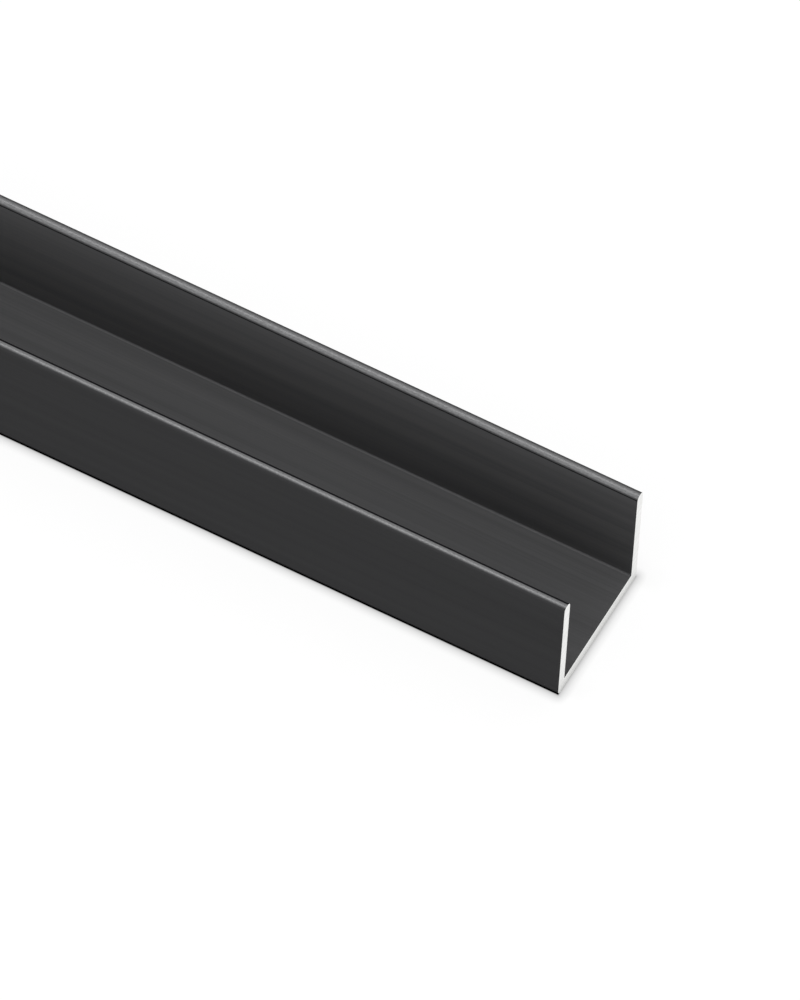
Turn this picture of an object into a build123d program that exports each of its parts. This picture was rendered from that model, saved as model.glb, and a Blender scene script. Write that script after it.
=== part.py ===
"""A length of aluminium U-channel: a web with two equal legs, extruded through a die and sawn square.

The stock lies on its web with the legs up. The origin is on the floor under the middle of the web,
+X runs along the length, +Y across the web and +Z up the legs. All lengths are in millimetres.
"""

import os

from build123d import *

# Driving dimensions of the stock
LENGTH = 1000.0
OUTER_WIDTH = 22.0
LEG_HEIGHT = 20.0
LEG_THICKNESS = 1.5
WEB_THICKNESS = 2.0

# Radii that the die gives to the section's corners
HEEL_RADIUS = 0.7
ROOT_RADIUS = 0.25

# The tip of a leg is rounded right over, which leaves a narrow flat along its middle
TIP_ROUND_SHARE = 0.48
tip_radius = TIP_ROUND_SHARE * LEG_THICKNESS

# The channel between the legs takes the edge of a board
clear_width = OUTER_WIDTH - 2 * LEG_THICKNESS
clear_depth = LEG_HEIGHT - WEB_THICKNESS


def channel_section():
    """The section that the die gives: an outer block less the channel, with its corners rounded."""
    with BuildSketch(Plane.YZ) as section:
        Rectangle(OUTER_WIDTH, LEG_HEIGHT, align=(Align.CENTER, Align.MIN))
        with Locations((0, WEB_THICKNESS)):
            Rectangle(
                clear_width,
                clear_depth,
                align=(Align.CENTER, Align.MIN),
                mode=Mode.SUBTRACT,
            )
        # Each rounding draws the section anew, so the corners are picked again, row by row from below
        fillet(section.vertices().group_by(Axis.Y)[1], ROOT_RADIUS)
        fillet(section.vertices().group_by(Axis.Y)[0], HEEL_RADIUS)
        fillet(section.vertices().group_by(Axis.Y)[-1], tip_radius)
    return section.sketch


def u_channel():
    """The section drawn out along the length, half of it to each side of the origin."""
    with BuildPart() as stock:
        extrude(channel_section(), amount=LENGTH / 2, both=True)
    return stock.part


os.makedirs("parts", exist_ok=True)
export_step(u_channel(), "parts/u_channel.step")
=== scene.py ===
import math

import bpy
import numpy as np
from mathutils import Matrix, Vector


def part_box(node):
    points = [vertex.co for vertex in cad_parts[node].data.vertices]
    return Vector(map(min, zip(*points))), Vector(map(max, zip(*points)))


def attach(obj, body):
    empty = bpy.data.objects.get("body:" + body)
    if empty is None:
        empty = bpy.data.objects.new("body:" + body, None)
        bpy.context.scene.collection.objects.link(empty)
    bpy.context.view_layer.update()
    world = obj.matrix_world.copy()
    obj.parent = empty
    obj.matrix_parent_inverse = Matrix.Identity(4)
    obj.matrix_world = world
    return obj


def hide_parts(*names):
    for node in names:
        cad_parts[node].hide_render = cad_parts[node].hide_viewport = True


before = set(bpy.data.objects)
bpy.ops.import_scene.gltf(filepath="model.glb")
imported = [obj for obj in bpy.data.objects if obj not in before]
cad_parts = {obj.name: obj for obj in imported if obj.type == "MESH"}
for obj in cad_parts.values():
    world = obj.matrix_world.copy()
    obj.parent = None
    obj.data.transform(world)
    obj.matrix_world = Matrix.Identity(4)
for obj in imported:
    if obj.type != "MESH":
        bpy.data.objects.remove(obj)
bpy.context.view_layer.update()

# The U-channel
# One length of aluminium stock, pressed hot through a die as a web with two legs, anodised black,
# and sawn square at both ends afterwards, so that only the two sawn faces show bare metal.
MM = 0.001
channel_low, channel_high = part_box("u_channel")
HALF_LENGTH = (channel_high.x - channel_low.x) / 2
HALF_WIDTH = (channel_high.y - channel_low.y) / 2
LEG_HEIGHT = channel_high.z - channel_low.z
LEG_WALL = 1.5 * MM
WEB_WALL = 2.0 * MM
HEEL_RADIUS = 0.7 * MM
ROOT_RADIUS = 0.25 * MM
TIP_RADIUS = 0.72 * MM
FLAT_LEAD = 0.02 * MM
SAW_EDGE = 0.06 * MM
HALF_CLEAR = HALF_WIDTH - LEG_WALL
ARC_STEPS = 13
STATION_SPACING = 20 * MM
SHARP_ANGLE = math.radians(30)


def rounded_loop(corners, radii, steps, lead):
    """A closed loop of square corners, each turned into a quarter circle.

    With u the unit direction into a corner and v the one out of it, the arc's centre is the corner
    less r u plus r v, and its points are the centre plus r (u sin a - v cos a) for a from 0 to 90
    degrees. A lead point before and after each arc keeps the flats flat under smooth shading.
    Returns the points and their outward normals, corner after corner.
    """
    into = corners - np.roll(corners, 1, axis=0)
    into /= np.linalg.norm(into, axis=1, keepdims=True)
    out = np.roll(into, -1, axis=0)
    angle = np.linspace(0, math.pi / 2, steps)
    along, across = np.sin(angle)[None, :, None], np.cos(angle)[None, :, None]
    turned_out = np.sign(into[:, :1] * out[:, 1:] - into[:, 1:] * out[:, :1])[:, None]
    facing = into[:, None] * along - out[:, None] * across
    reach = radii[:, None, None]
    centres = corners[:, None] + reach * (out - into)[:, None]
    arcs = centres + reach * facing
    first = arcs[:, :1] - lead * into[:, None]
    last = arcs[:, -1:] + lead * out[:, None]
    normals = turned_out * facing
    points = np.concatenate([first, arcs, last], axis=1)
    normals = np.concatenate([normals[:, :1], normals, normals[:, -1:]], axis=1)
    return points.reshape(-1, 2), normals.reshape(-1, 2)


def drawn_stock(loop, normals, stations, shrink):
    """The loop carried along X: at station x it is moved inwards, along its normals, by shrink(x).

    The first half of the loop is the outside and the second half the inside, in opposite order, so
    point i faces point last - i across the wall, and each end is closed by a ladder of such pairs.
    Returns the vertices, the faces between stations and the faces that close the ends.
    """
    count = len(loop)
    rings = loop[None] - shrink[:, None, None] * normals[None]
    length = np.broadcast_to(stations[:, None, None], (len(stations), count, 1))
    vertices = np.concatenate([length, rings], axis=2).reshape(-1, 3)
    ring = np.arange(count)
    following = np.roll(ring, -1)
    step = np.arange(len(stations) - 1)[:, None] * count
    walls = np.stack([ring + step, following + step, following + step + count, ring + step + count], -1)
    rung = np.arange(count // 2 - 1)
    ladder = np.stack([rung, rung + 1, count - 2 - rung, count - 1 - rung], -1)
    far_cap = ladder + (len(stations) - 1) * count
    near_cap = ladder[:, ::-1]
    return vertices, walls, np.concatenate([near_cap, far_cap])


corners = np.array([
    [-HALF_WIDTH, LEG_HEIGHT],
    [-HALF_WIDTH, 0],
    [HALF_WIDTH, 0],
    [HALF_WIDTH, LEG_HEIGHT],
    [HALF_CLEAR, LEG_HEIGHT],
    [HALF_CLEAR, WEB_WALL],
    [-HALF_CLEAR, WEB_WALL],
    [-HALF_CLEAR, LEG_HEIGHT],
])
outside_radii = [TIP_RADIUS, HEEL_RADIUS, HEEL_RADIUS, TIP_RADIUS]
inside_radii = [TIP_RADIUS, ROOT_RADIUS, ROOT_RADIUS, TIP_RADIUS]
loop, loop_normals = rounded_loop(corners, np.array(outside_radii + inside_radii), ARC_STEPS, FLAT_LEAD)
station_count = int(round(2 * HALF_LENGTH / STATION_SPACING)) + 1
inner_stations = np.linspace(-HALF_LENGTH + SAW_EDGE, HALF_LENGTH - SAW_EDGE, station_count)
stations = np.concatenate([[-HALF_LENGTH], inner_stations, [HALF_LENGTH]])
shrink = np.where(np.abs(stations) > HALF_LENGTH - SAW_EDGE / 2, SAW_EDGE, 0.0)
vertices, walls, caps = drawn_stock(loop, loop_normals, stations, shrink)

channel_mesh = bpy.data.meshes.new("u_channel_stock")
channel_mesh.from_pydata(vertices.tolist(), [], walls.reshape(-1, 4).tolist() + caps.tolist())
# The saw also breaks the edge of its cut, so the narrow ring beside each sawn face is bare too
bare_walls = np.zeros(walls.shape[:2], dtype=np.int32)
bare_walls[[0, -1]] = 1
bare_faces = np.concatenate([bare_walls.ravel(), np.ones(len(caps), dtype=np.int32)])
channel_mesh.polygons.foreach_set("material_index", bare_faces)
channel_mesh.polygons.foreach_set("use_smooth", bare_faces == 0)
channel_mesh.set_sharp_from_angle(angle=SHARP_ANGLE)

# Where colour is painted round the section for light and shade. The painted level is 0 on the outside
# and 1 inside the channel, a paler copy of the finish that is painted light; more than that in the roots,
# a painted highlight; and below 0 on the heels and the tips' inner edges, painted shade. Lean is the
# angle that a face tips forwards from level. Each tip has a painted highlight between the middle two of
# its four angles, fading to the outer two, and its inner edge lies past one angle of its own.
ROOT_PAINTED_LIGHT = 1.8
EDGE_PAINTED_SHADE = -0.9
FRONT_HIGHLIGHT = np.radians([-15, -7.5, 26, 44])
BACK_HIGHLIGHT = np.radians([-30, 0, 52, 75])
FRONT_EDGE, BACK_EDGE = np.radians([-11, 78])
HIGHLIGHT_SHARES = [0, 1, 1, 0]
front = loop[:, 0] < 0
lean = np.arctan2(-loop_normals[:, 0], loop_normals[:, 1])
at_tip = loop[:, 1] > LEG_HEIGHT - TIP_RADIUS - FLAT_LEAD / 2
painted_dark_edge = at_tip & np.where(front, lean < FRONT_EDGE, lean > BACK_EDGE)
inside = np.arange(len(loop)) >= len(loop) // 2
half_span = np.where(inside, HALF_CLEAR, HALF_WIDTH)
bottom = np.where(inside, WEB_WALL, 0)
radius = np.where(inside, ROOT_RADIUS, HEEL_RADIUS) - FLAT_LEAD / 2
at_bend = (np.abs(loop[:, 0]) > half_span - radius) & (loop[:, 1] < bottom + radius)
# Painted light and shade: paler inside and more so in the roots, darker on the heels and the tips' inner
# edges
painted_level = np.select(
    [painted_dark_edge, at_tip, inside & at_bend, inside, at_bend],
    [EDGE_PAINTED_SHADE, 0.0, ROOT_PAINTED_LIGHT, 1.0, EDGE_PAINTED_SHADE],
)
# A painted highlight along each tip, leaning towards the front
tip_highlight = np.where(front, np.interp(lean, FRONT_HIGHLIGHT, HIGHLIGHT_SHARES), np.interp(lean, BACK_HIGHLIGHT, HIGHLIGHT_SHARES))
for name, share in (("painted_light_and_shade", painted_level), ("painted_tip_highlight", tip_highlight * at_tip)):
    attribute = channel_mesh.attributes.new(name, "FLOAT", "POINT")
    attribute.data.foreach_set("value", np.tile(share, len(stations)))
channel_mesh.update()
channel = bpy.data.objects.new("u_channel_stock", channel_mesh)
bpy.context.scene.collection.objects.link(channel)


def linear(code):
    """An sRGB hex colour as linear red, green, blue and a full alpha, by the curve of that standard."""
    shades = [int(code[i : i + 2], 16) / 255 for i in (1, 3, 5)]
    return [s / 12.92 if s <= 0.04045 else ((s + 0.055) / 1.055) ** 2.4 for s in shades] + [1.0]


def add(tree, kind, inputs=(), **settings):
    """Adds a shader node with its settings, and sets or links each input named in inputs."""
    made = tree.nodes.new("ShaderNode" + kind)
    for name, value in settings.items():
        setattr(made, name, value)
    for name, value in dict(inputs).items():
        if isinstance(value, bpy.types.NodeSocket):
            tree.links.new(value, made.inputs[name])
        else:
            made.inputs[name].default_value = value
    return made


def new_material(name):
    """An empty node material and its node tree."""
    material = bpy.data.materials.new(name)
    material.use_nodes = True
    material.node_tree.nodes.clear()
    return material, material.node_tree


# The sockets of a Mix node: its factor, the two numbers that it mixes into output 0, and the two
# colours that it mixes into output 2
FACTOR, NUMBER_A, NUMBER_B, COLOUR_A, COLOUR_B = 0, 2, 3, 6, 7
MIXED_COLOUR = 2

# Satin black anodised aluminium: a dyed oxide on an extruded face. It is dark and dull, with faint
# lines along the stock from the die. It is painted paler inside the channel and along the roots, as
# painted light, and darker on the heels and the tips' inner edges, as painted shade. The tips carry a
# painted highlight, a grey metal band on which the lamps add real highlights. The lines and the
# highlight's grain are drawn coarser than real ones, so that they show.
OUTSIDE_DARK, OUTSIDE_PALE = "#3a3a3b", "#454546"
# A paler, lit copy of the outside colours for the channel's inside: painted light
INSIDE_LIT_DARK, INSIDE_LIT_PALE = "#525253", "#616162"
# The tips' painted highlight, a grey metal
TIP_HIGHLIGHT_DARK, TIP_HIGHLIGHT_PALE = "#666667", "#787879"
DIE_LINE = 0.22 * MM
DIE_BAND = 1.9 * MM
DIE_RUN = 90 * MM
LINE_DEPTH = 0.006 * MM
LINE_DETAIL, BAND_DETAIL = 2, 1
BAND_SHARE = 0.62
STREAK_LOW, STREAK_HIGH = 0.26, 0.74
HIGHLIGHT_GRAIN = 0.16 * MM
HIGHLIGHT_RUN = 0.4 * MM
GRAIN_DETAIL = 2
GRAIN_LOW, GRAIN_HIGH = 0.3, 0.7
DYED_ROUGHNESS = (0.56, 0.68)
TIP_HIGHLIGHT_ROUGHNESS = 0.5
OXIDE_IOR = 1.3
OXIDE_SHEEN = 0.12

anodised, tree = new_material("satin_black_anodised_aluminium")
place = add(tree, "TexCoord").outputs["Object"]
lines_at = add(tree, "Mapping", {"Vector": place, "Scale": (1 / DIE_RUN, 1 / DIE_LINE, 1 / DIE_LINE)})
lines = add(tree, "TexNoise", {"Vector": lines_at.outputs[0], "Scale": 1.0, "Detail": LINE_DETAIL})
bands_at = add(tree, "Mapping", {"Vector": place, "Scale": (1 / DIE_RUN, 1 / DIE_BAND, 1 / DIE_BAND)})
bands = add(tree, "TexNoise", {"Vector": bands_at.outputs[0], "Scale": 1.0, "Detail": BAND_DETAIL})
streaks = add(tree, "Mix", {
    FACTOR: BAND_SHARE, NUMBER_A: lines.outputs["Fac"], NUMBER_B: bands.outputs["Fac"]
})
streaks = add(tree, "MapRange", {
    "Value": streaks.outputs[0], "From Min": STREAK_LOW, "From Max": STREAK_HIGH
})
grain_at = add(tree, "Mapping", {"Vector": place, "Scale": (1 / HIGHLIGHT_RUN, 1 / HIGHLIGHT_GRAIN, 1 / HIGHLIGHT_GRAIN)})
grain = add(tree, "TexNoise", {"Vector": grain_at.outputs[0], "Scale": 1.0, "Detail": GRAIN_DETAIL})
grain = add(tree, "MapRange", {
    "Value": grain.outputs["Fac"], "From Min": GRAIN_LOW, "From Max": GRAIN_HIGH
})
painted_light_share = add(tree, "Attribute", attribute_name="painted_light_and_shade").outputs["Fac"]
tip_highlight_share = add(tree, "Attribute", attribute_name="painted_tip_highlight").outputs["Fac"]
outside_colour = add(tree, "Mix", {
    FACTOR: streaks.outputs[0], COLOUR_A: linear(OUTSIDE_DARK), COLOUR_B: linear(OUTSIDE_PALE)
}, data_type="RGBA")
inside_lit_colour = add(tree, "Mix", {
    FACTOR: streaks.outputs[0], COLOUR_A: linear(INSIDE_LIT_DARK), COLOUR_B: linear(INSIDE_LIT_PALE)
}, data_type="RGBA")
tip_highlight_colour = add(tree, "Mix", {
    FACTOR: grain.outputs[0], COLOUR_A: linear(TIP_HIGHLIGHT_DARK), COLOUR_B: linear(TIP_HIGHLIGHT_PALE)
}, data_type="RGBA")
# Not clamped, so that a painted level past 1 or below 0 goes on past the two colours, into the roots'
# painted highlight and the edges' painted shade
dye_with_painted_light = add(tree, "Mix", {
    FACTOR: painted_light_share,
    COLOUR_A: outside_colour.outputs[MIXED_COLOUR],
    COLOUR_B: inside_lit_colour.outputs[MIXED_COLOUR],
}, data_type="RGBA", clamp_factor=False)
# Lays the tips' painted highlight over the dyed colour
colour = add(tree, "Mix", {
    FACTOR: tip_highlight_share,
    COLOUR_A: dye_with_painted_light.outputs[MIXED_COLOUR],
    COLOUR_B: tip_highlight_colour.outputs[MIXED_COLOUR],
}, data_type="RGBA")
dull = add(tree, "MapRange", {
    "Value": streaks.outputs[0], "To Min": DYED_ROUGHNESS[0], "To Max": DYED_ROUGHNESS[1]
})
dull = add(tree, "Mix", {FACTOR: tip_highlight_share, NUMBER_A: dull.outputs[0], NUMBER_B: TIP_HIGHLIGHT_ROUGHNESS})
relief = add(tree, "Bump", {"Height": lines.outputs["Fac"], "Distance": LINE_DEPTH, "Strength": 1.0})
shader = add(tree, "BsdfPrincipled", {
    "Base Color": colour.outputs[MIXED_COLOUR],
    "Metallic": tip_highlight_share,
    "Roughness": dull.outputs[0],
    "IOR": OXIDE_IOR,
    "Specular IOR Level": OXIDE_SHEEN,
    "Normal": relief.outputs[0],
})
add(tree, "OutputMaterial", {"Surface": shader.outputs[0]})

# Bare aluminium off the saw: bright metal with straight lines left by the blade's teeth, drawn coarser
# than real ones so that they show
SAWN_DARK, SAWN_PALE = "#e8e8e6", "#fbfbfa"
SAW_LINE = 0.25 * MM
SAW_RUN = 6 * MM
SAW_TILT = math.radians(28)
SAW_DEPTH = 0.008 * MM
MARK_DETAIL = 3
MARK_LOW, MARK_HIGH = 0.3, 0.7
SAWN_ROUGHNESS = (0.42, 0.32)

bare, tree = new_material("bare_sawn_aluminium")
place = add(tree, "TexCoord").outputs["Object"]
marks_at = add(tree, "Mapping", {
    "Vector": place, "Rotation": (SAW_TILT, 0, 0), "Scale": (0, 1 / SAW_RUN, 1 / SAW_LINE)
})
marks = add(tree, "TexNoise", {"Vector": marks_at.outputs[0], "Scale": 1.0, "Detail": MARK_DETAIL})
marks = add(tree, "MapRange", {
    "Value": marks.outputs["Fac"], "From Min": MARK_LOW, "From Max": MARK_HIGH
})
colour = add(tree, "Mix", {
    FACTOR: marks.outputs[0], COLOUR_A: linear(SAWN_DARK), COLOUR_B: linear(SAWN_PALE)
}, data_type="RGBA")
dull = add(tree, "MapRange", {
    "Value": marks.outputs[0], "To Min": SAWN_ROUGHNESS[0], "To Max": SAWN_ROUGHNESS[1]
})
relief = add(tree, "Bump", {"Height": marks.outputs[0], "Distance": SAW_DEPTH, "Strength": 1.0})
shader = add(tree, "BsdfPrincipled", {
    "Base Color": colour.outputs[MIXED_COLOUR],
    "Metallic": 1.0,
    "Roughness": dull.outputs[0],
    "Normal": relief.outputs[0],
})
add(tree, "OutputMaterial", {"Surface": shader.outputs[0]})

channel_mesh.materials.append(anodised)
channel_mesh.materials.append(bare)
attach(channel, "root")
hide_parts("u_channel")

# The floor
# A plain pale studio sheet. What the camera and reflections see of it is lifted to white, and the
# stock's shadow is kept: a faint wide one from the lamps, and a tight painted shadow, drawn darker by
# nearness to the ground that the stock covers and black under it.
FLOOR_HALF = 40.0
SHEET_COLOUR = "#6a6a6a"
SHADE_COLOUR = "#7c7c7c"
LIFT = 0.85
PAINTED_SHADOW_INSET = 0.06 * MM
PAINTED_SHADOW_REACH = 1.6 * MM
PAINTED_SHADOW_POWER = 0.2


def seen_directly(tree):
    """1 for camera, glossy and transmission rays, which show the white background, and 0 for others."""
    path = add(tree, "LightPath").outputs
    seen = add(tree, "Math", {0: path["Is Camera Ray"], 1: path["Is Glossy Ray"]}, operation="MAXIMUM")
    seen = add(tree, "Math", {0: seen.outputs[0], 1: path["Is Transmission Ray"]}, operation="MAXIMUM")
    return seen.outputs[0]


floor_corners = [(-1, -1), (1, -1), (1, 1), (-1, 1)]
floor_mesh = bpy.data.meshes.new("floor")
floor_mesh.from_pydata([(x * FLOOR_HALF, y * FLOOR_HALF, 0) for x, y in floor_corners], [], [(0, 1, 2, 3)])
floor = bpy.data.objects.new("floor", floor_mesh)
bpy.context.scene.collection.objects.link(floor)
white_sheet, tree = new_material("white_studio_sheet")
sheet = add(tree, "BsdfDiffuse", {"Color": linear(SHEET_COLOUR)})
shaded = add(tree, "BsdfDiffuse", {"Color": linear(SHADE_COLOUR)})
# A painted contact shadow: the sheet is darkened by its distance from the stock's footprint, black under
# it
place = add(tree, "TexCoord").outputs["Object"]
from_middle = add(tree, "VectorMath", {0: place}, operation="ABSOLUTE")
covered = (HALF_LENGTH - PAINTED_SHADOW_INSET, HALF_WIDTH - PAINTED_SHADOW_INSET, 0)
past = add(tree, "VectorMath", {0: from_middle.outputs[0], 1: covered}, operation="SUBTRACT")
past = add(tree, "VectorMath", {0: past.outputs[0], 1: (0, 0, 0)}, operation="MAXIMUM")
away = add(tree, "VectorMath", {0: past.outputs[0]}, operation="LENGTH").outputs["Value"]
open_share = add(tree, "MapRange", {"Value": away, "From Max": PAINTED_SHADOW_REACH})
painted_shadow_fade = add(tree, "Math", {0: open_share.outputs[0], 1: PAINTED_SHADOW_POWER}, operation="POWER")
glow = add(tree, "Emission", {"Color": linear("#ffffff"), "Strength": LIFT})
lifted = add(tree, "AddShader", {0: shaded.outputs[0], 1: glow.outputs[0]})
painted_shadow_black = add(tree, "BsdfDiffuse", {"Color": linear("#000000")})
seen = add(tree, "MixShader", {0: painted_shadow_fade.outputs[0], 1: painted_shadow_black.outputs[0], 2: lifted.outputs[0]})
mixed = add(tree, "MixShader", {0: seen_directly(tree), 1: sheet.outputs[0], 2: seen.outputs[0]})
add(tree, "OutputMaterial", {"Surface": mixed.outputs[0]})
floor_mesh.materials.append(white_sheet)

# Studio light
# A white surround that is brighter on the left, a soft lamp overhead, which adds real highlights to
# the tips' painted bright lines, and a broad one low in front, from the left. Both lamps are so far off
# that they light the whole length evenly. Each has a strength, a width in degrees and a direction that it
# shines from.
SURROUND_LEFT, SURROUND_RIGHT = 1.16, 0.1
LAMPS = {
    "overhead_lamp": (0.7, 14, (-0.24, -0.07, 1.0)),
    "front_lamp": (0.45, 50, (-0.4, -1.0, 0.45)),
}
world = bpy.data.worlds.new("studio_surround")
bpy.context.scene.world = world
world.use_nodes = True
tree = world.node_tree
tree.nodes.clear()
towards = add(tree, "TexCoord").outputs["Generated"]
# A direction's X runs from -1 on the left to 1 on the right
sideways = add(tree, "SeparateXYZ", {0: towards}).outputs["X"]
level = add(tree, "MapRange", {
    "Value": sideways, "From Min": -1.0, "To Min": SURROUND_LEFT, "To Max": SURROUND_RIGHT
})
plain = add(tree, "Background", {"Color": linear("#ffffff"), "Strength": level.outputs[0]})
white = add(tree, "Background", {"Color": linear("#ffffff"), "Strength": 1.0})
mixed = add(tree, "MixShader", {0: seen_directly(tree), 1: plain.outputs[0], 2: white.outputs[0]})
add(tree, "OutputWorld", {"Surface": mixed.outputs[0]})

for name, (strength, width, direction) in LAMPS.items():
    lamp_data = bpy.data.lights.new(name, "SUN")
    lamp_data.energy = strength
    lamp_data.angle = math.radians(width)
    lamp = bpy.data.objects.new(name, lamp_data)
    lamp.rotation_euler = Vector(direction).to_track_quat("Z", "Y").to_euler()
    bpy.context.scene.collection.objects.link(lamp)

# The camera
# A very long lens from above the front right, placed so that the near sawn end falls where it does
# in the picture.
PICTURE = (800, 1000)
END_CENTRE_PIXEL = (600.88, 593.15)
PIXELS_PER_LEG = 151.38
AZIMUTH, ELEVATION, ROLL = 24.89, 55.305, 4.07
LENS_MM = 1000
SENSOR_MM = 36
CLIP_START, CLIP_END = 0.1, 1000
camera_data = bpy.data.cameras.new("camera")
camera_data.lens = LENS_MM
camera_data.sensor_width = SENSOR_MM
camera = bpy.data.objects.new("camera", camera_data)
bpy.context.scene.collection.objects.link(camera)
bpy.context.scene.camera = camera
azimuth, elevation, roll = map(math.radians, (AZIMUTH, ELEVATION, ROLL))
back = Vector((
    math.sin(azimuth) * math.cos(elevation),
    -math.cos(azimuth) * math.cos(elevation),
    math.sin(elevation),
))
level_right = Vector((math.cos(azimuth), math.sin(azimuth), 0))
level_up = back.cross(level_right)
right = level_right * math.cos(roll) + level_up * math.sin(roll)
up = level_up * math.cos(roll) - level_right * math.sin(roll)
pixel = LEG_HEIGHT / PIXELS_PER_LEG
distance = LENS_MM / SENSOR_MM * max(PICTURE) * pixel
end_centre = Vector((HALF_LENGTH, 0, LEG_HEIGHT / 2))
aim = (
    end_centre
    + right * (PICTURE[0] / 2 - END_CENTRE_PIXEL[0]) * pixel
    + up * (END_CENTRE_PIXEL[1] - PICTURE[1] / 2) * pixel
)
place = aim + back * distance
camera.matrix_world = Matrix((
    (right.x, up.x, back.x, place.x),
    (right.y, up.y, back.y, place.y),
    (right.z, up.z, back.z, place.z),
    (0, 0, 0, 1),
))
camera_data.clip_start = CLIP_START
camera_data.clip_end = CLIP_END

bpy.context.scene.view_settings.view_transform = "Standard"
